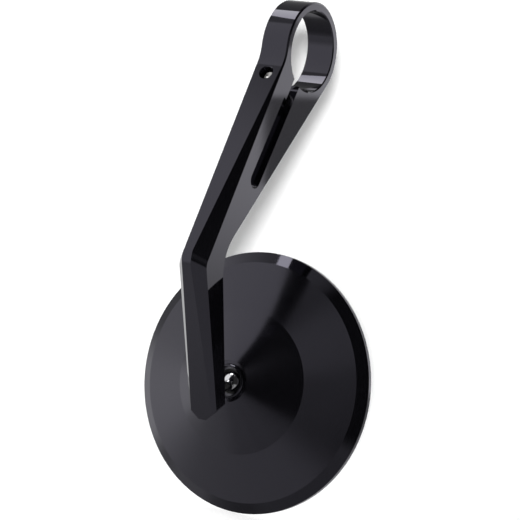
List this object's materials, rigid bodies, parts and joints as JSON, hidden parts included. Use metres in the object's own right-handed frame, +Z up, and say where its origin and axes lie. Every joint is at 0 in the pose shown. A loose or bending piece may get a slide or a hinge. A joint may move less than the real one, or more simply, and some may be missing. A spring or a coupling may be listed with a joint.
{
  "type": "motorcycle bar end mirror",
  "caption": "Round bar end mirror: turned conical back, cranked milled stem with a slotted clamp ring, and a sprung ball joint that lets the head tilt, swivel and spin.",
  "frame": {"origin": "centre of the clamp bore, midway across the clamp ring", "axes": "+X along the handlebar through the clamp bore, -Y out of the back of the mirror head, +Z up, with the head hanging below the bar"},
  "size_m": [0.098, 0.0718, 0.1923],
  "materials": {
    "stem_black": "black anodised, milled flats, semi-gloss",
    "housing_black": "black anodised, fine turned rings, semi-gloss",
    "chrome_ball": "polished chrome plate",
    "stainless": "plain stainless steel",
    "nylon": "black moulded nylon",
    "pad_rubber": "black foam adhesive pad",
    "mirror_face": "silvered glass, gently convex"
  },
  "bodies": {
    "stem": {"stem": "stem_black", "clamp_screw": "stainless", "ball_stud": "chrome_ball"},
    "liner": {"socket_liner": "nylon"},
    "cup": {"pressure_cup": "nylon"},
    "mirror_head": {"mirror_housing": "housing_black", "rear_disc_spring": "stainless", "front_disc_spring": "stainless", "retainer_plate": "stainless", "retainer_screws": "stainless", "adhesive_pad": "pad_rubber", "mirror_glass": "mirror_face"}
  },
  "joints": [
    {"name": "mirror_tilt", "type": "hinge", "parent": "stem", "child": "liner", "pos_m": [0, -0.00782, -0.12498], "axis": [1, 0, 0], "range_deg": [-12, 15]},
    {"name": "mirror_swivel", "type": "hinge", "parent": "liner", "child": "cup", "pos_m": [0, -0.00782, -0.12498], "axis": [0, 0, 1], "range_deg": [-12, 12]},
    {"name": "mirror_spin", "type": "hinge", "parent": "cup", "child": "mirror_head", "pos_m": [0, -0.00782, -0.12498], "axis": [0, -1, 0], "continuous": true}
  ]
}
